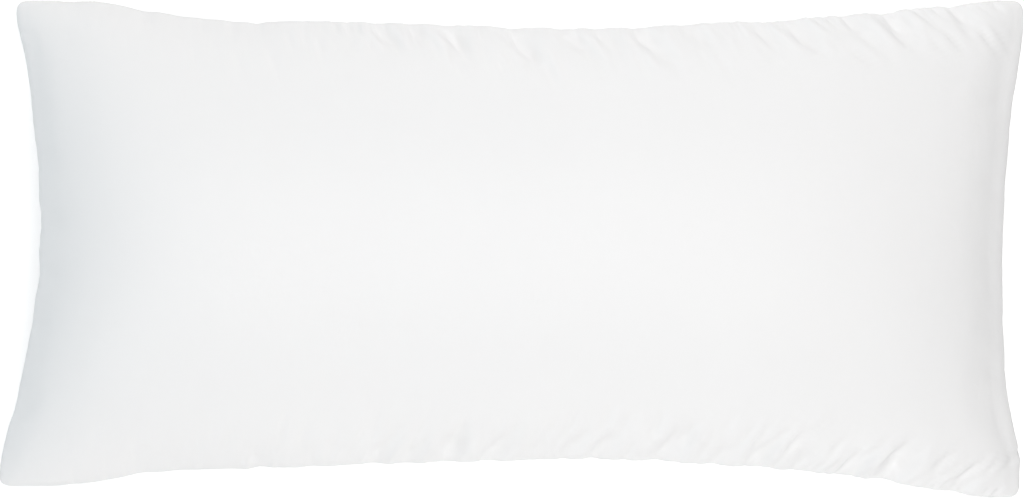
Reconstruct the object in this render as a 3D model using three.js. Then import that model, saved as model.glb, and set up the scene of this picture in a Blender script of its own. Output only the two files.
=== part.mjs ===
// A plain white filled pillow for the neck: two equal rectangles of cotton cloth, sewn together all
// round with a knife edge, turned and filled. It lies on its back with its front face up.
// Millimetres. X runs along the pillow, Y across it, Z up from the surface that it lies on.
import * as THREE from 'three';

// Driving dimensions
const crownHeight = 94; // the front's crown above the seam
const seamHeight = 64; // the seam above the surface, halfway along a side
const backDepth = 80; // what the back would hang below the seam if nothing flattened it
const restBlend = 4; // how softly the back turns onto the surface
const cornerDroop = 14; // the corners hang lower than the seam between them
const drawPower = 1.8; // how soon a side is drawn in beyond its ears
const earBlend = 9; // how softly an ear turns into the drawn-in side
const tipRadius = 9; // the rounding of a corner's tip

// The sections of the panels: across the pillow, and along its front, which is fuller to the left,
// and its back
const across = { low: 2.4, high: 2.4, edge: 0.72 };
const frontAlong = { low: 6, high: 3.3, edge: 0.72 };
const backAlong = { low: 3.2, high: 3.2, edge: 0.72 };

// The mesh of each panel: closer together towards the seam, where the cloth is steep
const columns = 100;
const rows = 28;
const crowdColumns = 0.3;
const crowdRows = 0.75;

// The sewn corners in plan, with how far each one's flat ear runs along the length and the width
const corners = {
  nearLeft: { x: -390, y: -181, ear: { length: 58, width: 10 } },
  nearRight: { x: 387, y: -189.5, ear: { length: 32, width: 34 } },
  farLeft: { x: -378, y: 189.5, ear: { length: 64, width: 16 } },
  farRight: { x: 390, y: 189.5, ear: { length: 24, width: 24 } },
};

// Each side runs from one corner to another. waist is where it is drawn in most, as a share of the
// way, depth is how far it is drawn in there, and inward points into the pillow.
const sides = {
  near: { from: 'nearLeft', to: 'nearRight', way: 'length', waist: 0.57, depth: 27.5, inward: [0, 1] },
  far: { from: 'farLeft', to: 'farRight', way: 'length', waist: 0.54, depth: 23, inward: [0, -1] },
  left: { from: 'nearLeft', to: 'farLeft', way: 'width', waist: 0.53, depth: 24.5, inward: [1, 0] },
  right: { from: 'nearRight', to: 'farRight', way: 'width', waist: 0.48, depth: 16.5, inward: [-1, 0] },
};

// Broad sways of a side between its corners: at is where along the side, depth how far in it sways
// there, and reach how far along it that is felt
const sways = {
  near: [
    { at: -272, depth: 4.2, reach: 55 },
    { at: -30, depth: -1.4, reach: 70 },
    { at: 250, depth: 2.0, reach: 60 },
  ],
  far: [
    { at: -232, depth: 5.6, reach: 58 },
    { at: -55, depth: -1.2, reach: 60 },
  ],
  left: [{ at: -155, depth: -2.4, reach: 24 }],
  right: [{ at: -95, depth: 2.6, reach: 38 }],
};

// The main puckers of the front. at is the place along the side where a pucker leaves the seam, run
// is how far it reaches in and lean how far it drifts sideways on the way, depth is how deep it is
// and pull is how far it pulls the seam itself in.
const puckers = {
  far: [
    { at: -277, run: 16, lean: 0, depth: 1.6, pull: 0.3 },
    { at: -209, run: 16, lean: 0, depth: 2.2, pull: 0.2 },
    { at: -193, run: 14, lean: -12, depth: 1.6, pull: 1.8 },
    { at: -123, run: 20, lean: 12, depth: 2.2, pull: 0.3 },
    { at: -104, run: 30, lean: 25, depth: 4.7, pull: 0.5 },
    { at: -77, run: 28, lean: 18, depth: 3.4, pull: 0.4 },
    { at: -51, run: 38, lean: 27, depth: 5.2, pull: 0.5 },
    { at: -2, run: 54, lean: 38, depth: 4.6, pull: 0.4 },
    { at: 38, run: 30, lean: 27, depth: 4.0, pull: 0.4 },
    { at: 65, run: 28, lean: 21, depth: 4.0, pull: 0.4 },
    { at: 92, run: 44, lean: 38, depth: 5.2, pull: 0.6 },
    { at: 132, run: 24, lean: 19, depth: 3.4, pull: 0.4 },
    { at: 182, run: 30, lean: 25, depth: 3.8, pull: 0.5 },
    { at: 205, run: 42, lean: 38, depth: 5.0, pull: 0.6 },
    { at: 252, run: 32, lean: 22, depth: 3.8, pull: 0.5 },
    { at: 282, run: 48, lean: 33, depth: 6.4, pull: 1.2 },
    { at: 334, run: 36, lean: 23, depth: 4.6, pull: 1.0 },
  ],
  near: [
    { at: -190, run: 16, lean: 0, depth: 2.6, pull: 1.6 },
    { at: -151, run: 14, lean: 0, depth: 1.8, pull: 0.3 },
    { at: -123, run: 16, lean: 5, depth: 2.2, pull: 0.3 },
    { at: -106, run: 30, lean: 21, depth: 4.7, pull: 0.5 },
    { at: -82, run: 26, lean: 17, depth: 3.4, pull: 0.4 },
    { at: -51, run: 40, lean: 20, depth: 4.8, pull: 0.5 },
    { at: -20, run: 36, lean: 32, depth: 4.7, pull: 0.5 },
    { at: 37, run: 26, lean: 24, depth: 4.0, pull: 0.4 },
    { at: 60, run: 30, lean: 25, depth: 5.0, pull: 0.6 },
    { at: 109, run: 44, lean: 36, depth: 5.0, pull: 0.6 },
    { at: 151, run: 26, lean: 25, depth: 3.6, pull: 0.4 },
    { at: 178, run: 34, lean: 21, depth: 4.6, pull: 0.6 },
    { at: 214, run: 24, lean: 13, depth: 3.2, pull: 0.4 },
    { at: 252, run: 30, lean: 20, depth: 3.8, pull: 0.5 },
    { at: 281, run: 50, lean: 29, depth: 6.8, pull: 1.4 },
    { at: 334, run: 32, lean: 24, depth: 4.6, pull: 1.0 },
  ],
  left: [
    { at: 68, run: 24, lean: 0, depth: 2.0, pull: 0.6 },
    { at: 22, run: 40, lean: 2, depth: 2.9, pull: 0.8 },
    { at: -20, run: 28, lean: -2, depth: 2.2, pull: 0.5 },
    { at: -56, run: 26, lean: -4, depth: 2.2, pull: 0.5 },
    { at: -119, run: 28, lean: 4, depth: 2.4, pull: 0.6 },
  ],
  right: [
    { at: 113, run: 28, lean: -4, depth: 1.5, pull: 0.5 },
    { at: 45, run: 26, lean: 0, depth: 1.5, pull: 0.5 },
    { at: -58, run: 24, lean: 2, depth: 1.5, pull: 0.5 },
    { at: -96, run: 28, lean: 6, depth: 1.8, pull: 0.5 },
  ],
};
const puckerWidth = { least: 4.8, perRun: 0.1 }; // half a pucker's width, more for a long one
const seamFade = 11; // a pucker gains its depth over this much cloth from the seam
const pullFade = 12; // how far into the panel the pull on the seam is felt
const puckerReach = 3; // how many half widths away from its line a pucker is felt

// Broad swells where the filling lies unevenly, one row each
const swells = [
  { x: -250, y: 60, radius: 95, rise: 2.2 },
  { x: -120, y: -70, radius: 85, rise: -1.8 },
  { x: 60, y: 55, radius: 100, rise: 1.6 },
  { x: 190, y: -60, radius: 90, rise: 2.0 },
  { x: 300, y: 50, radius: 70, rise: -1.6 },
  { x: 318, y: -88, radius: 62, rise: 4.0 },
  { x: -332, y: 2, radius: 36, rise: -4.5 },
];

const step = 1e-3; // the step along a panel over which its slope is measured

// The larger of a value and nothing, with the corner between the two rounded off
function softPositive(value, blend) {
  if (value <= -blend) return 0;
  if (value >= blend) return value;
  return (value + blend) ** 2 / (4 * blend);
}

// Where a grid line lies, as a share of the panel from 0 to 1
function gridShare(index, count, crowd) {
  const even = (2 * index) / count - 1;
  const rounded = Math.sin((Math.PI / 2) * even);
  return 0.5 + 0.5 * ((1 - crowd) * even + crowd * rounded);
}

// How much of the tip's rounding is felt at a distance from the corner, along either side
function tipCut(fromCorner) {
  const left = Math.max(0, 1 - fromCorner / tipRadius);
  return tipRadius * (1 - Math.SQRT1_2) * left * left;
}

function swayAt(name, along) {
  return sways[name].reduce(
    (total, row) => total + row.depth * Math.exp(-(((along - row.at) / row.reach) ** 2)),
    0,
  );
}

// A point of the seam in plan, at a share of the way along a side, before any pucker pulls it in
function seamPoint(name, share) {
  const side = sides[name];
  const from = corners[side.from];
  const to = corners[side.to];
  const length = Math.hypot(to.x - from.x, to.y - from.y);
  const before = share < side.waist;
  const toWaist = length * (before ? side.waist : 1 - side.waist);
  const fromCorner = length * (before ? share : 1 - share);
  const ear = (before ? from : to).ear[side.way];
  const beyondEar = softPositive(fromCorner - ear, earBlend) / (toWaist - ear);
  const drawnIn = side.depth * (1 - Math.max(0, 1 - beyondEar) ** drawPower);
  const cut = tipCut(fromCorner);
  const alongCut = before ? cut : -cut;
  const [inX, inY] = side.inward;
  const straightX = from.x + (to.x - from.x) * share;
  const straightY = from.y + (to.y - from.y) * share;
  const inwards = drawnIn + cut + swayAt(name, side.way === 'length' ? straightX : straightY);
  const x = straightX + inX * inwards;
  const y = straightY + inY * inwards;
  return side.way === 'length' ? [x + alongCut, y] : [x, y + alongCut];
}

// Every pucker of a side, those of the back being the front's taken end for end
function puckersOf(name, face) {
  if (face > 0) return puckers[name];
  return puckers[name].map((row) => ({ ...row, at: -row.at, lean: -row.lean }));
}

function halfWidth(row) {
  return puckerWidth.least + puckerWidth.perRun * row.run;
}

// The plan of a panel, stretched evenly between its four sides
function evenPlan(shareX, shareY) {
  const near = seamPoint('near', shareX);
  const far = seamPoint('far', shareX);
  const left = seamPoint('left', shareY);
  const right = seamPoint('right', shareY);
  const ends = [
    [(1 - shareX) * (1 - shareY), corners.nearLeft],
    [shareX * (1 - shareY), corners.nearRight],
    [(1 - shareX) * shareY, corners.farLeft],
    [shareX * shareY, corners.farRight],
  ];
  const cut = tipCut(0);
  return [0, 1].map((axis) => {
    const between = (1 - shareY) * near[axis] + shareY * far[axis];
    const beside = (1 - shareX) * left[axis] + shareX * right[axis];
    const sum = ends.reduce((total, [weight, corner]) => {
      const tip = axis === 0 ? corner.x : corner.y;
      return total + weight * (tip - Math.sign(tip) * cut);
    }, 0);
    return between + beside - sum;
  });
}

// Where a point of the plan lies beside each side: how far along it and how far inside it
function besideSides(x, y, shareX, shareY) {
  return {
    near: { along: x, inside: y - seamPoint('near', shareX)[1] },
    far: { along: x, inside: seamPoint('far', shareX)[1] - y },
    left: { along: y, inside: x - seamPoint('left', shareY)[0] },
    right: { along: y, inside: seamPoint('right', shareY)[0] - x },
  };
}

// The plan with the seam pulled in where the puckers of either face leave it
function planPoint(shareX, shareY) {
  const [x, y] = evenPlan(shareX, shareY);
  let [pulledX, pulledY] = [x, y];
  for (const [name, place] of Object.entries(besideSides(x, y, shareX, shareY))) {
    const [inX, inY] = sides[name].inward;
    const felt = Math.exp(-place.inside / pullFade);
    for (const row of [...puckersOf(name, 1), ...puckersOf(name, -1)]) {
      const pull = row.pull * felt * Math.exp(-(((place.along - row.at) / halfWidth(row)) ** 2));
      pulledX += pull * inX;
      pulledY += pull * inY;
    }
  }
  return [pulledX, pulledY];
}

// A section's height from 0 to 1, at values from -1 at its low end to 1 at its high end
function bulge(value, profile) {
  const power = value < 0 ? profile.low : profile.high;
  return Math.max(0, 1 - Math.abs(value) ** power) ** profile.edge;
}

function swellAt(x, y) {
  return swells.reduce((total, row) => {
    const away = Math.hypot(x - row.x, y - row.y) / row.radius;
    return total + row.rise * Math.exp(-away * away);
  }, 0);
}

// A point of the smooth panel, before its puckers
function smoothPoint(shareX, shareY, face) {
  const v = 2 * shareY - 1;
  const u = 2 * shareX - 1;
  const [x, y] = planPoint(shareX, shareY);
  const seam = seamHeight - cornerDroop * (u * v) ** 2;
  const fullness = bulge(v, across) * bulge(u, face > 0 ? frontAlong : backAlong);
  if (face > 0) return [x, y, seam + fullness * (crownHeight + swellAt(x, y))];
  return [x, y, softPositive(seam - fullness * backDepth, restBlend)];
}

// The outward direction of the smooth panel
function outward(shareX, shareY, face) {
  const clampedX = Math.min(1 - step, Math.max(step, shareX));
  const clampedY = Math.min(1 - step, Math.max(step, shareY));
  const at = (dx, dy) => new THREE.Vector3(...smoothPoint(clampedX + dx, clampedY + dy, face));
  const alongX = at(step, 0).sub(at(-step, 0));
  const alongY = at(0, step).sub(at(0, -step));
  return alongX.cross(alongY).normalize().multiplyScalar(face);
}

// How deep the puckers of all four sides are at a point of the plan
function puckerDepth(shareX, shareY, face) {
  const [x, y] = evenPlan(shareX, shareY);
  let depth = 0;
  for (const [name, place] of Object.entries(besideSides(x, y, shareX, shareY))) {
    for (const row of puckersOf(name, face)) {
      const gone = place.inside / row.run;
      if (gone >= 1) continue;
      const away = (place.along - row.at - row.lean * gone) / halfWidth(row);
      if (Math.abs(away) > puckerReach) continue;
      const valley = (1 - away * away) * Math.exp((-away * away) / 2);
      const start = Math.min(1, place.inside / seamFade);
      const end = Math.cos((Math.PI / 2) * gone);
      depth += row.depth * valley * start * end * end;
    }
  }
  return depth;
}

function panelPoint(shareX, shareY, face) {
  const [x, y, z] = smoothPoint(shareX, shareY, face);
  const depth = puckerDepth(shareX, shareY, face);
  const point = new THREE.Vector3(x, y, z);
  if (depth !== 0) point.addScaledVector(outward(shareX, shareY, face), -depth);
  point.z = Math.max(0, point.z);
  return point;
}

// Both panels in one closed mesh, sharing the points of the seam. Each square of the grid is cut
// along the diagonal that points at the nearest corner, so that no triangle has all of its points
// on the seam.
function pillowGeometry() {
  const positions = [];
  const triangles = [];
  const numbers = new Map();

  function pointNumber(column, row, face) {
    const onSeam = column === 0 || column === columns || row === 0 || row === rows;
    const key = `${column},${row},${onSeam ? 0 : face}`;
    if (!numbers.has(key)) {
      numbers.set(key, positions.length / 3);
      const shareX = gridShare(column, columns, crowdColumns);
      const shareY = gridShare(row, rows, crowdRows);
      positions.push(...panelPoint(shareX, shareY, face).toArray());
    }
    return numbers.get(key);
  }

  for (const face of [1, -1]) {
    for (let column = 0; column < columns; column += 1) {
      for (let row = 0; row < rows; row += 1) {
        const a = pointNumber(column, row, face);
        const b = pointNumber(column + 1, row, face);
        const c = pointNumber(column + 1, row + 1, face);
        const d = pointNumber(column, row + 1, face);
        const towardsCorner = (column < columns / 2) === (row < rows / 2);
        const pair = towardsCorner ? [a, b, c, a, c, d] : [a, b, d, b, c, d];
        triangles.push(...(face > 0 ? pair : pair.reverse()));
      }
    }
  }

  const geometry = new THREE.BufferGeometry();
  geometry.setAttribute('position', new THREE.Float32BufferAttribute(positions, 3));
  geometry.setIndex(triangles);
  return geometry;
}

// The pillow stands with the middle of its underside at the origin
function centred(geometry) {
  geometry.computeBoundingBox();
  const { min, max } = geometry.boundingBox;
  geometry.translate(-(min.x + max.x) / 2, -(min.y + max.y) / 2, -min.z);
  geometry.computeVertexNormals();
  return geometry;
}

const whiteCotton = new THREE.MeshStandardMaterial({ color: 0xf5f6f6, roughness: 0.85, metalness: 0 });

const pillow = new THREE.Mesh(centred(pillowGeometry()), whiteCotton);
pillow.name = 'pillow';

const group = new THREE.Group();
group.add(pillow);

export default group;
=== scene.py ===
# A plain white filled pillow for the neck, lying on its back, seen square on from above.
# Its form is worked out in millimetres, as the solid's is, and made in metres.
import math

import bpy
import numpy as np
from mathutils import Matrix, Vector


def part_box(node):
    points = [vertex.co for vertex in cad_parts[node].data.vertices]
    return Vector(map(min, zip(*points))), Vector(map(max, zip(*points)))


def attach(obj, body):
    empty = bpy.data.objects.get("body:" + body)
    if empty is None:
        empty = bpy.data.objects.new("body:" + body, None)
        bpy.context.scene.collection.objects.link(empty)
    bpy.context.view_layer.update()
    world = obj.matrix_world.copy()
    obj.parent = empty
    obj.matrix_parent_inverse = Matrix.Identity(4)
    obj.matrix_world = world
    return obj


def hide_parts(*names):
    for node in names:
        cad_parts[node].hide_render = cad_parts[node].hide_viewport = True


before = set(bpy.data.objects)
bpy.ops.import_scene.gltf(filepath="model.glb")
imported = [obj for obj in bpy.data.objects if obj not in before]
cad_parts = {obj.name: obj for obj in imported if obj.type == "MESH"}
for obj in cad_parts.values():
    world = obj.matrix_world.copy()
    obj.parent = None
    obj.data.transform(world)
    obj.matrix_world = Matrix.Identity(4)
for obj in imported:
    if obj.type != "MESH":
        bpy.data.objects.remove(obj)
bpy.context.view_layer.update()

MM = 0.001

# Driving dimensions of the form, as the solid has them
CROWN_HEIGHT = 94  # the front's crown above the seam
SEAM_HEIGHT = 64  # the seam above the surface, halfway along a side
BACK_DEPTH = 80  # what the back would hang below the seam if nothing flattened it
REST_BLEND = 4  # how softly the back turns onto the surface
CORNER_DROOP = 14  # the corners hang lower than the seam between them
DRAW_POWER = 1.8  # how soon a side is drawn in beyond its ears
EAR_BLEND = 9  # how softly an ear turns into the drawn-in side
TIP_RADIUS = 9  # the rounding of a corner's tip
CLOTH_LENGTH, CLOTH_WIDTH = 800, 400  # each panel as cut, between its seams
BAKE_MARGIN = 0.006  # the rim left free round each panel's half of the bake sheet, as a share

# The sections of the panels: across the pillow, and along its front, which is fuller to the left,
# and its back
ACROSS = {"low": 2.4, "high": 2.4, "edge": 0.72}
FRONT_ALONG = {"low": 6, "high": 3.3, "edge": 0.72}
BACK_ALONG = {"low": 3.2, "high": 3.2, "edge": 0.72}

# The grid of each panel: closer together towards the seam, where the cloth is steep
COLUMNS = 258
ROWS = 48
CROWD_COLUMNS = 0.3
CROWD_ROWS = 0.88

# The sewn corners in plan, with how far each one's flat ear runs along the length and the width
CORNERS = {
    "near_left": {"at": (-390, -181), "length": 58, "width": 10},
    "near_right": {"at": (387, -189.5), "length": 32, "width": 34},
    "far_left": {"at": (-378, 189.5), "length": 64, "width": 16},
    "far_right": {"at": (390, 189.5), "length": 24, "width": 24},
}

# Each side runs from one corner to another. waist is where it is drawn in most, as a share of the
# way, depth is how far it is drawn in there, and inward points into the pillow. The settled cloth
# stands past its seam, so with the sways below the short sides are drawn in up to four millimetres
# more here than in the solid, and the long sides up to two.
SIDES = {
    "near": {"ends": ("near_left", "near_right"), "way": "length", "waist": 0.57, "depth": 27.5,
             "inward": (0, 1)},
    "far": {"ends": ("far_left", "far_right"), "way": "length", "waist": 0.54, "depth": 23,
            "inward": (0, -1)},
    "left": {"ends": ("near_left", "far_left"), "way": "width", "waist": 0.53, "depth": 26.9,
             "inward": (1, 0)},
    "right": {"ends": ("near_right", "far_right"), "way": "width", "waist": 0.48, "depth": 17.8,
              "inward": (-1, 0)},
}

# Broad sways of a side between its corners: where along it, how far in it sways there, and how far
# along it that is felt
SWAYS = {
    "near": ((-262, 5.4, 66), (-30, -1.4, 70), (250, 2.0, 60)),
    "far": ((-228, 6.4, 68), (-55, -1.2, 60), (150, -1.0, 45)),
    "left": ((-150, -3.0, 30), (-25, 1.6, 38), (142, 1.6, 26)),
    "right": ((-130, 1.4, 30), (-95, 2.6, 38), (100, 0.8, 30)),
}

# The main puckers of the front, one row each: where along the side it leaves the seam, how far it
# reaches in, how far it drifts sideways on the way, how deep it is and how far it pulls the seam in
PUCKER_COLUMNS = ("at", "run", "lean", "depth", "pull")
MAIN_PUCKERS = {
    "far": (
        (-277, 16, 0, 1.6, 0.3),
        (-209, 16, 0, 2.2, 0.2),
        (-193, 14, -12, 1.6, 1.8),
        (-123, 20, 12, 2.2, 0.3),
        (-104, 30, 25, 4.7, 0.5),
        (-77, 28, 18, 3.4, 0.4),
        (-51, 38, 27, 5.2, 0.5),
        (-2, 54, 38, 4.6, 0.4),
        (38, 30, 27, 4.0, 0.4),
        (65, 28, 21, 4.0, 0.4),
        (92, 44, 38, 5.2, 0.6),
        (132, 24, 19, 3.4, 0.4),
        (182, 30, 25, 3.8, 0.5),
        (205, 42, 38, 5.0, 0.6),
        (252, 32, 22, 3.8, 0.5),
        (282, 48, 33, 6.4, 1.2),
        (334, 36, 23, 4.6, 1.0),
    ),
    "near": (
        (-190, 16, 0, 2.6, 1.6),
        (-151, 14, 0, 1.8, 0.3),
        (-123, 16, 5, 2.2, 0.3),
        (-106, 30, 21, 4.7, 0.5),
        (-82, 26, 17, 3.4, 0.4),
        (-51, 40, 20, 4.8, 0.5),
        (-20, 36, 32, 4.7, 0.5),
        (37, 26, 24, 4.0, 0.4),
        (60, 30, 25, 5.0, 0.6),
        (109, 44, 36, 5.0, 0.6),
        (151, 26, 25, 3.6, 0.4),
        (178, 34, 21, 4.6, 0.6),
        (214, 24, 13, 3.2, 0.4),
        (252, 30, 20, 3.8, 0.5),
        (281, 50, 29, 6.8, 1.4),
        (334, 32, 24, 4.6, 1.0),
    ),
    "left": (
        (68, 24, 0, 2.0, 0.6),
        (22, 40, 2, 2.9, 0.8),
        (-20, 28, -2, 2.2, 0.5),
        (-56, 26, -4, 2.2, 0.5),
        (-119, 28, 4, 2.4, 0.6),
    ),
    "right": (
        (113, 28, -4, 1.5, 0.5),
        (45, 26, 0, 1.5, 0.5),
        (-58, 24, 2, 1.5, 0.5),
        (-96, 28, 6, 1.8, 0.5),
    ),
}
MAIN_WIDTH = {"least": 4.8, "per_run": 0.1}  # half a pucker's width, more for a long one
SEAM_FADE = 11  # a pucker gains its depth over this much cloth from the seam
PULL_FADE = 12  # how far into the panel the pull on the seam is felt

# Broad swells where the filling lies unevenly: place, radius and rise
SWELLS = (
    (-250, 60, 95, 2.2),
    (-120, -70, 85, -1.8),
    (60, 55, 100, 1.6),
    (190, -60, 90, 2.0),
    (300, 50, 70, -1.6),
    (318, -88, 62, 4.0),
    (-332, 2, 36, -4.5),
)

# The cloth's own settling, by simulation
SETTLE_FRAMES = 24
SETTLE_CLOTH = {
    "quality": 6,
    "mass": 0.02,
    "tension_stiffness": 30,
    "compression_stiffness": 30,
    "shear_stiffness": 6,
    "bending_stiffness": 0.05,
    "tension_damping": 5,
    "compression_damping": 5,
    "shear_damping": 5,
    "air_damping": 4,
    "use_pressure": True,
    "uniform_pressure_force": 3.0,
}
GATHER = 0.05  # beside the seam the cloth is longer than the seam by this share
GATHER_BAND = {"from": 2, "middle": 14, "reach": 16}  # where, measured in from the seam
END_GATHER = 0.06  # how much of that the two short ends have
# How strongly a long side gathers: places along it, and shares there
GATHER_ALONG = ((-270, 0.1), (-110, 0.5), (130, 0.5), (220, 1))
BACK_SHARE = 0.6  # the back, which hangs slack, gathers this much of what the front does
SEAM_EASE = 12  # beside the seam, the settling grows over this much cloth
SLACK_REACH = 60  # the small folds of settling are kept this far in from the seam
SLACK_POWER = 4  # how suddenly they end there
SLACK_PASSES = 60  # how far the settling of the middle is evened out
MIDDLE_SHARE = 0.35  # how much of its evened settling the middle keeps
SOFTEN_PASSES = 5  # how far the sharpest creases of settling are softened
MOST_MOVE = 7  # no point settles further than this from the form

# The fine gathers that the sewing leaves between the main puckers, drawn at random: short ones at
# the seam and, beside the long sides, some that start a little way in. every is how far apart they
# are, from how far in they start, run how far they reach from there, fade how soon they are deep,
# and slant how far they drift sideways for their run.
FINE_SEED = 11
STRAY = (0.1, 0.9)  # a gather lies somewhere in this part of its own stretch of the side
SEAM_GATHERS = {"every": 9, "from": (0, 0), "run": (12, 30), "fade": 4, "slant": (0.8, 1.1),
                "half": (2.2, 3.4), "depth": (0.6, 2.0)}
INNER_GATHERS = {"every": 13, "from": (6, 24), "run": (22, 42), "fade": 9, "slant": (0.7, 1.1),
                 "half": (3.2, 5.2), "depth": (1.0, 3.2)}
LEFT_GATHERS = {"every": 9, "from": (0, 0), "run": (8, 24), "fade": 3, "slant": (-0.2, 0.2),
                "half": (2.4, 3.8), "depth": (0.2, 0.9)}
RIGHT_GATHERS = {"every": 9, "from": (0, 0), "run": (8, 24), "fade": 3, "slant": (-0.2, 0.2),
                 "half": (2.4, 3.8), "depth": (0.1, 0.5)}
FINE_GATHERS = {
    "far": (SEAM_GATHERS, INNER_GATHERS),
    "near": (SEAM_GATHERS, INNER_GATHERS),
    "left": (LEFT_GATHERS,),
    "right": (RIGHT_GATHERS,),
}
CORNER_REACH = {"length": 372, "width": 172}  # how far from the middle of a side it has gathers
NORMAL_PASSES = 8  # how far the direction that the fine gathers press in is evened out

# The seam: a crevice between the panels, pressed towards the nearest point of a rectangle, with the
# cloth rolled out over it from both sides. Both die away near the corners, and the power says how
# late.
SEAM_GROOVE = {"depth": 2.3, "half": 0.7}
SEAM_ROLL = {"depth": 1.6, "half": 6}
SEAM_MIDDLE = (330, 130)  # the rectangle's corner
CORNER_AT = (390, 189.5)
CORNER_POWER = 6


def soft_positive(value, blend):
    """The larger of a value and nothing, with the corner between the two rounded off."""
    rounded = (value + blend) ** 2 / (4 * blend)
    return np.where(value <= -blend, 0, np.where(value >= blend, value, rounded))


def grid_shares(count, crowd):
    """Where the grid lines lie, as shares of the panel."""
    even = np.linspace(-1, 1, count + 1)
    rounded = np.sin(math.pi / 2 * even)
    return 0.5 + 0.5 * ((1 - crowd) * even + crowd * rounded)


def tip_cut(from_corner):
    """How much of the tip's rounding is felt at a distance from the corner, along either side."""
    left = np.maximum(0, 1 - from_corner / TIP_RADIUS)
    return TIP_RADIUS * (1 - math.sqrt(0.5)) * left * left


def seam_line(name, share):
    """The seam in plan at shares of the way along a side, before any pucker pulls it in."""
    side = SIDES[name]
    start, end = (CORNERS[corner] for corner in side["ends"])
    span = np.subtract(end["at"], start["at"])
    length = math.hypot(*span)
    before = share < side["waist"]
    to_waist = length * np.where(before, side["waist"], 1 - side["waist"])
    from_corner = length * np.where(before, share, 1 - share)
    ear = np.where(before, start[side["way"]], end[side["way"]])
    beyond_ear = soft_positive(from_corner - ear, EAR_BLEND) / (to_waist - ear)
    drawn_in = side["depth"] * (1 - np.maximum(0, 1 - beyond_ear) ** DRAW_POWER)
    cut = tip_cut(from_corner)
    along_cut = np.where(before, cut, -cut)
    line = np.array(start["at"]) + share[..., None] * span
    axis = 0 if side["way"] == "length" else 1
    for at, depth, reach in SWAYS[name]:
        drawn_in = drawn_in + depth * np.exp(-(((line[..., axis] - at) / reach) ** 2))
    line = line + (drawn_in + cut)[..., None] * np.array(side["inward"])
    line[..., axis] += along_cut
    return line


def even_plan(share_x, share_y):
    """The plan of a panel, stretched evenly between its four sides, and those sides."""
    sides = {
        "near": seam_line("near", share_x)[:, None],
        "far": seam_line("far", share_x)[:, None],
        "left": seam_line("left", share_y)[None],
        "right": seam_line("right", share_y)[None],
    }
    u = share_x[:, None, None]
    v = share_y[None, :, None]
    tips = {}
    for name, corner in CORNERS.items():
        at = np.array(corner["at"], float)
        tips[name] = at - np.sign(at) * tip_cut(np.array(0.0))
    between = (1 - v) * sides["near"] + v * sides["far"]
    beside = (1 - u) * sides["left"] + u * sides["right"]
    near = (1 - u) * tips["near_left"] + u * tips["near_right"]
    far = (1 - u) * tips["far_left"] + u * tips["far_right"]
    return between + beside - (1 - v) * near - v * far, sides


def beside_sides(plan, sides):
    """How far along and how far inside each side every point of a plan lies."""
    x, y = plan[..., 0], plan[..., 1]
    return {
        "near": (x, y - sides["near"][..., 1]),
        "far": (x, sides["far"][..., 1] - y),
        "left": (y, x - sides["left"][..., 0]),
        "right": (y, sides["right"][..., 0] - x),
    }


def nearest_side(places):
    """How far inside the nearest side every point lies."""
    return np.minimum.reduce([inside + 0 * along for along, inside in places.values()])


def main_puckers(name, face):
    """The main puckers of a side, those of the back being the front's taken end for end."""
    rows = [dict(zip(PUCKER_COLUMNS, row)) for row in MAIN_PUCKERS[name]]
    for row in rows:
        row["half"] = MAIN_WIDTH["least"] + MAIN_WIDTH["per_run"] * row["run"]
        row["from"], row["fade"] = 0, SEAM_FADE
        if face < 0:
            row["at"], row["lean"] = -row["at"], -row["lean"]
    return rows


def pull_seam(plan, places):
    """Pulls the seam in where the main puckers of either face leave it."""
    pulled = plan.copy()
    for name, (along, inside) in places.items():
        felt = np.exp(-inside / PULL_FADE)
        for row in main_puckers(name, 1) + main_puckers(name, -1):
            pull = row["pull"] * felt * np.exp(-(((along - row["at"]) / row["half"]) ** 2))
            pulled += pull[..., None] * np.array(SIDES[name]["inward"])
    return pulled


def pucker_depth(places, puckers):
    """How deep the puckers of all four sides are at every point."""
    depth = 0
    for name, (along, inside) in places.items():
        for row in puckers[name]:
            begun = np.maximum(0, inside - row["from"])
            gone = np.minimum(1, begun / row["run"])
            away = (along - row["at"] - row["lean"] * gone) / row["half"]
            valley = (1 - away * away) * np.exp(-away * away / 2)
            start = np.minimum(1, begun / row["fade"])
            depth = depth + row["depth"] * valley * start * np.cos(math.pi / 2 * gone) ** 2
    return depth


def bulge(value, profile):
    """A section's height from 0 to 1, at values from -1 at its low end to 1 at its high end."""
    power = np.where(value < 0, profile["low"], profile["high"])
    return np.maximum(0, 1 - np.abs(value) ** power) ** profile["edge"]


def outward(points, face):
    """The outward direction at every point of a panel."""
    normal = np.cross(np.gradient(points, axis=0), np.gradient(points, axis=1))
    return face * normal / np.maximum(1e-9, np.linalg.norm(normal, axis=-1, keepdims=True))


def panel(face, share_x, share_y):
    """One panel of the form with its main puckers, as an array of points in millimetres."""
    plan, sides = even_plan(share_x, share_y)
    places = beside_sides(plan, sides)
    plan = pull_seam(plan, places)
    x, y = plan[..., 0], plan[..., 1]
    across = 2 * share_y[None] - 1
    along = 2 * share_x[:, None] - 1
    seam = SEAM_HEIGHT - CORNER_DROOP * (along * across) ** 2
    fullness = bulge(across, ACROSS) * bulge(along, FRONT_ALONG if face > 0 else BACK_ALONG)
    if face > 0:
        swell = 0
        for swell_x, swell_y, radius, rise in SWELLS:
            away = np.hypot(x - swell_x, y - swell_y) / radius
            swell = swell + rise * np.exp(-away * away)
        z = seam + fullness * (CROWN_HEIGHT + swell)
    else:
        z = soft_positive(seam - fullness * BACK_DEPTH, REST_BLEND)
    points = np.dstack([x, y, z])
    puckers = {name: main_puckers(name, face) for name in SIDES}
    depth = pucker_depth(places, puckers)
    points = points - depth[..., None] * outward(points, face)
    points[..., 2] = np.maximum(0, points[..., 2])
    return points


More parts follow.
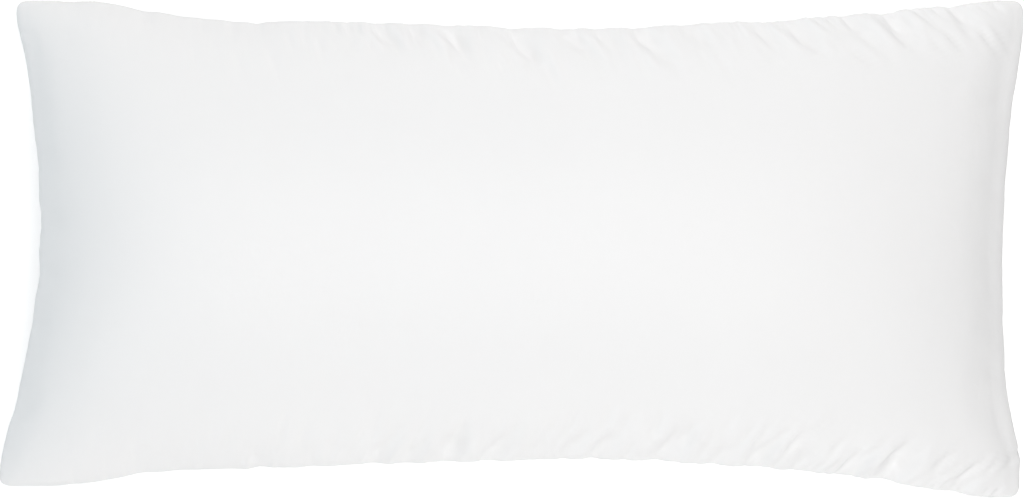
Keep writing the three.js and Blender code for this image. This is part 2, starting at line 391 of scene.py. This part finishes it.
def panel_numbers(shape):
    """The numbers of the points of both panels, which share those of the seam."""
    front = np.arange(shape[0] * shape[1]).reshape(shape)
    back = front.copy()
    inner = (shape[0] - 2, shape[1] - 2)
    back[1:-1, 1:-1] = front.size + np.arange(inner[0] * inner[1]).reshape(inner)
    return front, back


def joined_points(front, back):
    """The points of both panels in one list, those of the seam once."""
    return np.concatenate([front.reshape(-1, 3), back[1:-1, 1:-1].reshape(-1, 3)])


def split_points(points, shape):
    """The two panels again, from the points of their joined mesh."""
    return tuple(points[numbers] for numbers in panel_numbers(shape))


def joined_faces(panels):
    """Squares of both panels, from the numbers of their points. Each square starts at the corner
    nearest its own, so that its diagonal never lies on the seam."""
    columns, rows = panels[0].shape[0] - 1, panels[0].shape[1] - 1
    i, j = np.meshgrid(np.arange(columns), np.arange(rows), indexing="ij")
    towards = (i < columns / 2) == (j < rows / 2)
    faces = []
    for numbers, order in zip(panels, ((0, 1, 2, 3), (0, 3, 2, 1))):
        around = np.stack([numbers[:-1, :-1], numbers[1:, :-1], numbers[1:, 1:], numbers[:-1, 1:]], -1)
        around = around[..., order]
        turned = np.roll(around, 1, axis=-1)
        faces.append(np.where(towards[..., None], around, turned).reshape(-1, 4))
    return np.concatenate(faces)


def new_piece(name, front, back):
    """A mesh object of both panels, in metres."""
    mesh = bpy.data.meshes.new(name)
    faces = joined_faces(panel_numbers(front.shape[:2]))
    mesh.from_pydata(joined_points(front, back) * MM, [], faces.tolist())
    mesh.update()
    piece = bpy.data.objects.new(name, mesh)
    bpy.context.scene.collection.objects.link(piece)
    return piece


def crease_seam(piece, shape):
    """Marks the seam's edges as sharp, so that the shading breaks between the panels."""
    numbers = panel_numbers(shape)[0]
    on_seam = np.zeros(len(piece.data.vertices), bool)
    for line in (numbers[0], numbers[-1], numbers[:, 0], numbers[:, -1]):
        on_seam[line] = True
    ends = np.empty(2 * len(piece.data.edges), int)
    piece.data.edges.foreach_get("vertices", ends)
    piece.data.edges.foreach_set("use_edge_sharp", on_seam[ends].reshape(-1, 2).all(axis=1))


def add_uv(piece, name, front, back):
    """A UV map from one place for every point of each panel."""
    numbers = np.arange(front.shape[0] * front.shape[1]).reshape(front.shape[:2])
    corners = joined_faces((numbers, numbers + numbers.size))
    places = np.concatenate([front.reshape(-1, 2), back.reshape(-1, 2)])
    layer = piece.data.uv_layers.new(name=name)
    layer.uv.foreach_set("vector", places[corners].ravel().astype(np.float32))


def cloth_shares(points):
    """Where every grid line lies on the flat cloth, as shares of its length and its width."""
    shares = []
    for line in (points[:, points.shape[1] // 2], points[points.shape[0] // 2]):
        reach = np.concatenate([[0], np.cumsum(np.linalg.norm(np.diff(line, axis=0), axis=1))])
        shares.append(reach / reach[-1])
    return np.stack(np.meshgrid(*shares, indexing="ij"), axis=-1)


def smoothed(field, passes):
    """A field evened out over the grid, its edge left as it is."""
    field = field.copy()
    for _ in range(passes):
        around = field[:-2, 1:-1] + field[2:, 1:-1] + field[1:-1, :-2] + field[1:-1, 2:]
        field[1:-1, 1:-1] = around / 4
    return field


def gathering(along, face):
    """How strongly a long side of a panel gathers at places along it."""
    at, shares = zip(*GATHER_ALONG)
    return np.interp(face * along, at, shares) * (1 if face > 0 else BACK_SHARE)


def gather_share(places, face):
    """How strongly every point of a panel gathers: less towards the short ends."""
    from_long = np.minimum(places["near"][1], places["far"][1])
    from_short = np.minimum(places["left"][1], places["right"][1])
    at_end = np.clip(from_long / np.maximum(1e-6, from_long + from_short), 0, 1)
    return at_end * END_GATHER + (1 - at_end) * gathering(places["far"][0], face)


def settled(front, back, places):
    """Both panels after the filling has pressed them out and the seam has gathered them."""
    shape = front.shape[:2]
    piece = new_piece("settling", front, back)
    gather = piece.vertex_groups.new(name="gather")
    sewn = piece.vertex_groups.new(name="sewn")
    inside = nearest_side(places)
    band = np.exp(-(((inside - GATHER_BAND["middle"]) / GATHER_BAND["reach"]) ** 2))
    band *= np.clip(inside / GATHER_BAND["from"], 0, 1)
    for numbers, face in zip(panel_numbers(shape), (1, -1)):
        weight = 1 - band * gather_share(places, face)
        for number, share in zip(numbers.ravel().tolist(), weight.ravel().tolist()):
            gather.add([number], share, "REPLACE")
    numbers = panel_numbers(shape)[0]
    edge = np.concatenate([numbers[0], numbers[-1], numbers[:, 0], numbers[:, -1]])
    sewn.add(np.unique(edge).tolist(), 1, "REPLACE")
    cloth = piece.modifiers.new("Cloth", "CLOTH")
    settings = cloth.settings
    for name, value in SETTLE_CLOTH.items():
        setattr(settings, name, value)
    settings.effector_weights.gravity = 0
    settings.vertex_group_mass = sewn.name
    settings.vertex_group_shrink = gather.name
    settings.shrink_min = -GATHER
    settings.shrink_max = 0
    cloth.collision_settings.use_collision = False
    cloth.point_cache.frame_start = 1
    cloth.point_cache.frame_end = SETTLE_FRAMES
    scene = bpy.context.scene
    for number in range(1, SETTLE_FRAMES + 1):
        scene.frame_set(number)
    moved = piece.evaluated_get(bpy.context.evaluated_depsgraph_get()).data
    points = np.empty(len(moved.vertices) * 3)
    moved.vertices.foreach_get("co", points)
    scene.frame_set(1)
    bpy.data.objects.remove(piece)
    points = points.reshape(-1, 3) / MM
    start = joined_points(front, back)
    move = points - start
    far = np.linalg.norm(move, axis=1, keepdims=True)
    move *= MOST_MOVE * np.tanh(far / MOST_MOVE) / np.maximum(far, 1e-9)
    kept = np.exp(-((inside / SLACK_REACH) ** SLACK_POWER))[..., None]
    eased = np.clip(inside / SEAM_EASE, 0, 1)[..., None]
    made = []
    for form, settling in zip((front, back), split_points(move, shape)):
        soft = smoothed(settling, SOFTEN_PASSES)
        even = smoothed(settling, SLACK_PASSES)
        made.append(form + eased * (kept * soft + (1 - kept) * MIDDLE_SHARE * even))
    return made


def finer(points):
    """A panel with twice the grid lines each way. Each new line lies on the cubic through the two
    old ones on either side of it, whose weights are -1, 9, 9 and -1 sixteenths."""
    for axis in (0, 1):
        lines = np.moveaxis(points, axis, 0)
        before = 2 * lines[:1] - lines[1:2]
        after = 2 * lines[-1:] - lines[-2:-1]
        padded = np.concatenate([before, lines, after])
        middle = (9 * (padded[1:-2] + padded[2:-1]) - padded[:-3] - padded[3:]) / 16
        made = np.empty((2 * len(lines) - 1, *lines.shape[1:]))
        made[::2] = lines
        made[1::2] = middle
        points = np.moveaxis(made, 0, axis)
    return points


def fine_gathers(draw, face):
    """The fine gathers of every side of one panel, as rows like those of the main puckers."""
    rows = {name: [] for name in FINE_GATHERS}
    for name, kinds in FINE_GATHERS.items():
        way = SIDES[name]["way"]
        reach = CORNER_REACH[way]
        for kind in kinds:
            for number in range(int(2 * reach / kind["every"])):
                at = -reach + (number + draw.uniform(*STRAY)) * kind["every"]
                start = draw.uniform(*kind["from"])
                run = draw.uniform(*kind["run"])
                strength = float(gathering(at, face)) if way == "length" else 1
                rows[name].append({
                    "at": at,
                    "from": start,
                    "run": run,
                    "fade": kind["fade"],
                    "lean": face * run * strength * draw.uniform(*kind["slant"]),
                    "half": draw.uniform(*kind["half"]),
                    "depth": strength * draw.uniform(*kind["depth"]),
                })
    return rows


def sewn_panel(points, face, places, draw):
    """A panel with its fine gathers, and with the crevice that the seam makes along its edge."""
    depth = pucker_depth(places, fine_gathers(draw, face))
    points = points - depth[..., None] * smoothed(outward(points, face), NORMAL_PASSES)
    inside = nearest_side(places)
    pressed = 0
    for band, way in ((SEAM_GROOVE, 1), (SEAM_ROLL, -1)):
        pressed = pressed + way * band["depth"] * np.exp(-((inside / band["half"]) ** 2))
    at_corner = np.minimum(1, np.abs(points[..., :2] / CORNER_AT).prod(axis=-1))
    pressed = pressed * (1 - at_corner**CORNER_POWER)
    middle = np.clip(points[..., :2], -np.array(SEAM_MIDDLE), SEAM_MIDDLE)
    inward = middle - points[..., :2]
    inward /= np.maximum(1e-9, np.linalg.norm(inward, axis=-1, keepdims=True))
    points[..., :2] += pressed[..., None] * inward
    points[..., 2] = np.maximum(0, points[..., 2])
    return points


def pillow():
    """The whole cover: its form, settled and gathered, with its two UV maps."""
    share_x = grid_shares(COLUMNS, CROWD_COLUMNS)
    share_y = grid_shares(ROWS, CROWD_ROWS)
    plan, sides = even_plan(share_x, share_y)
    places = beside_sides(plan, sides)
    front = panel(1, share_x, share_y)
    back = panel(-1, share_x, share_y)
    front, back = settled(front, back, places)
    fine_places = {}
    for name, (along, inside) in places.items():
        both = finer(np.dstack(np.broadcast_arrays(along, inside)))
        fine_places[name] = (both[..., 0], np.maximum(0, both[..., 1]))
    draw = np.random.default_rng(FINE_SEED)
    front = sewn_panel(finer(front), 1, fine_places, draw)
    back = sewn_panel(finer(back), -1, fine_places, draw)
    piece = new_piece("pillow_cover", front, back)
    piece.data.shade_smooth()
    crease_seam(piece, front.shape[:2])
    cloth_size = np.array([CLOTH_LENGTH, CLOTH_WIDTH]) * MM
    shares = [cloth_shares(points) for points in (front, back)]
    add_uv(piece, "weave", *(share * cloth_size for share in shares))
    # The front has the upper half of the bake sheet and the back the lower
    inset = [BAKE_MARGIN + share * (1 - 2 * BAKE_MARGIN) for share in shares]
    half_sheet = np.array([1, 0.5])
    add_uv(piece, "OFBake", inset[0] * half_sheet + [0, 0.5], inset[1] * half_sheet)
    return piece


# The cloth's look
COTTON = (0.843, 0.843, 0.843)
COTTON_SHADE = (0.83, 0.83, 0.831)  # where the cloth is a little greyer
COTTON_PATCH = 0.09  # how broad its lighter and greyer patches are, in metres
COTTON_ROUGHNESS = (0.8, 0.92)
COTTON_SHEEN = {"weight": 0.12, "roughness": 0.45}
THREADS_PER_METRE = 3000
SLUBS = {"along": 90, "across": 1400, "height": 0.00004}  # thicker stretches of thread, per metre
CREASES = {"scale": 55, "height": 0.00035}  # the soft unevenness that a washed cloth keeps
FINE_CREASES = {"scale": 210, "height": 0.00008}
WEAVE_HEIGHT = 0.00003
COTTON_SPECULAR = 0.25
WAVE_BANDS = 3.18  # how many bands the wave texture draws to a unit at a scale of 1


def node(tree, kind, **values):
    """A new node with some of its properties set."""
    made = tree.nodes.new(kind)
    for name, value in values.items():
        setattr(made, name, value)
    return made


def threads(tree, uv, axis, per_metre):
    """One set of parallel threads, as a wave from 0 to 1 across them."""
    wave = node(tree, "ShaderNodeTexWave", wave_type="BANDS", bands_direction=axis)
    wave.inputs["Scale"].default_value = per_metre / WAVE_BANDS
    wave.inputs["Distortion"].default_value = 0
    tree.links.new(uv, wave.inputs["Vector"])
    return wave.outputs["Fac"]


def noise(tree, vector, scale, detail=2.0):
    """Noise from 0 to 1 over a vector."""
    made = node(tree, "ShaderNodeTexNoise")
    made.inputs["Scale"].default_value = scale
    made.inputs["Detail"].default_value = detail
    tree.links.new(vector, made.inputs["Vector"])
    return made.outputs["Fac"]


def stretched(tree, uv, scale):
    """The UV vector scaled by its own factor along each axis."""
    mapping = node(tree, "ShaderNodeMapping")
    mapping.inputs["Scale"].default_value = scale
    tree.links.new(uv, mapping.inputs["Vector"])
    return mapping.outputs["Vector"]


def bump(tree, height, distance, under=None):
    """A relief of a height in metres, on top of the one under it."""
    made = node(tree, "ShaderNodeBump")
    made.inputs["Strength"].default_value = 1
    made.inputs["Distance"].default_value = distance
    tree.links.new(height, made.inputs["Height"])
    if under:
        tree.links.new(under, made.inputs["Normal"])
    return made.outputs["Normal"]


def white_cotton():
    """Fine plain-woven white cotton: threads, slubs, soft creases and faintly uneven colour."""
    material = bpy.data.materials.new("white_cotton")
    material.use_nodes = True
    tree = material.node_tree
    shader = tree.nodes["Principled BSDF"]
    uv = node(tree, "ShaderNodeUVMap", uv_map="weave").outputs["UV"]
    place = node(tree, "ShaderNodeTexCoord").outputs["Object"]

    patches = noise(tree, place, 1 / COTTON_PATCH, detail=3)
    colour = node(tree, "ShaderNodeMix", data_type="RGBA")
    colour.inputs["A"].default_value = (*COTTON_SHADE, 1)
    colour.inputs["B"].default_value = (*COTTON, 1)
    tree.links.new(patches, colour.inputs["Factor"])
    tree.links.new(colour.outputs["Result"], shader.inputs["Base Color"])

    rough = node(tree, "ShaderNodeMapRange")
    rough.inputs["To Min"].default_value = COTTON_ROUGHNESS[0]
    rough.inputs["To Max"].default_value = COTTON_ROUGHNESS[1]
    tree.links.new(patches, rough.inputs["Value"])
    tree.links.new(rough.outputs["Result"], shader.inputs["Roughness"])
    shader.inputs["Sheen Weight"].default_value = COTTON_SHEEN["weight"]
    shader.inputs["Sheen Roughness"].default_value = COTTON_SHEEN["roughness"]
    shader.inputs["Specular IOR Level"].default_value = COTTON_SPECULAR

    weave = node(tree, "ShaderNodeMath", operation="MULTIPLY")
    tree.links.new(threads(tree, uv, "X", THREADS_PER_METRE), weave.inputs[0])
    tree.links.new(threads(tree, uv, "Y", THREADS_PER_METRE), weave.inputs[1])
    warp = noise(tree, stretched(tree, uv, (SLUBS["along"], SLUBS["across"], 1)), 1)
    weft = noise(tree, stretched(tree, uv, (SLUBS["across"], SLUBS["along"], 1)), 1)
    normal = bump(tree, noise(tree, place, CREASES["scale"]), CREASES["height"])
    normal = bump(tree, noise(tree, place, FINE_CREASES["scale"]), FINE_CREASES["height"], normal)
    normal = bump(tree, warp, SLUBS["height"], normal)
    normal = bump(tree, weft, SLUBS["height"], normal)
    normal = bump(tree, weave.outputs["Value"], WEAVE_HEIGHT, normal)
    tree.links.new(normal, shader.inputs["Normal"])
    return material


cover = pillow()
cover.data.materials.append(white_cotton())
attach(cover, "root")
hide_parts("pillow")


# The floor
FLOOR_SIZE = 12
FLOOR_COLOUR = (0.93, 0.93, 0.93)
FLOOR_GLOW = 0.2  # keeps it white beside the pillow


def pale_floor():
    """A plain pale floor that the pillow lies on."""
    half = FLOOR_SIZE / 2
    mesh = bpy.data.meshes.new("floor")
    mesh.from_pydata([(-half, -half, 0), (half, -half, 0), (half, half, 0), (-half, half, 0)], [],
                     [(0, 1, 2, 3)])
    made = bpy.data.objects.new("floor", mesh)
    bpy.context.scene.collection.objects.link(made)
    material = bpy.data.materials.new("floor")
    material.use_nodes = True
    shader = material.node_tree.nodes["Principled BSDF"]
    shader.inputs["Base Color"].default_value = (*FLOOR_COLOUR, 1)
    shader.inputs["Roughness"].default_value = 1
    shader.inputs["Specular IOR Level"].default_value = 0
    shader.inputs["Emission Color"].default_value = (1, 1, 1, 1)
    shader.inputs["Emission Strength"].default_value = FLOOR_GLOW
    mesh.materials.append(material)
    return made


pale_floor()

# The camera looks straight down, and its picture is as wide as the pillow at its corners' height
PICTURE_WIDTH = 1024
PILLOW_WIDTH = 1023  # of the picture's pixels
LENS = 100
SENSOR = 36
low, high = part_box("pillow")
span = (high[0] - low[0]) * PICTURE_WIDTH / PILLOW_WIDTH
camera_data = bpy.data.cameras.new("camera")
camera_data.lens = LENS
camera_data.sensor_width = SENSOR
camera = bpy.data.objects.new("camera", camera_data)
camera.location = (0, 0, (SEAM_HEIGHT - CORNER_DROOP) * MM + span * LENS / SENSOR)
bpy.context.scene.collection.objects.link(camera)
bpy.context.scene.camera = camera

# A soft studio: even light all round, large soft boxes above and beside the pillow, and a small cool
# one at its left end, so that both ends fall off a little
ROOM_LIGHT = {"colour": (1, 1, 1), "strength": 0.05}
WARM_WHITE = (1, 0.995, 0.993)
SOFT_BOXES = {
    "above": {"at": (0.19, 0, 2.7), "size": (2.2, 1.6), "watts": 57.3, "colour": WARM_WHITE},
    "far_side": {"at": (0.2, 1.7, 0.9), "size": (2.4, 0.9), "watts": 16.6, "colour": WARM_WHITE},
    "near_side": {"at": (0.2, -1.7, 0.9), "size": (2.4, 0.9), "watts": 16.6, "colour": WARM_WHITE},
    "left_low": {"at": (-1.7, 0, 0.3), "size": (0.5, 1.6), "watts": 7.7, "colour": (0.77, 0.918, 1)},
}
AIM = Vector((0, 0, 0.08))


def soft_box(name, at, size, watts, colour):
    """A soft rectangular light, turned towards the pillow."""
    light = bpy.data.lights.new(name, "AREA")
    light.shape = "RECTANGLE"
    light.size, light.size_y = size
    light.energy = watts
    light.color = colour
    made = bpy.data.objects.new(name, light)
    made.location = at
    made.rotation_mode = "QUATERNION"
    made.rotation_quaternion = (AIM - Vector(at)).to_track_quat("-Z", "Y")
    bpy.context.scene.collection.objects.link(made)


for name, box in SOFT_BOXES.items():
    soft_box(name, **box)
world = bpy.data.worlds.new("studio")
bpy.context.scene.world = world
world.use_nodes = True
world.node_tree.nodes["Background"].inputs["Color"].default_value = (*ROOM_LIGHT["colour"], 1)
world.node_tree.nodes["Background"].inputs["Strength"].default_value = ROOM_LIGHT["strength"]
bpy.context.scene.view_settings.view_transform = "Standard"
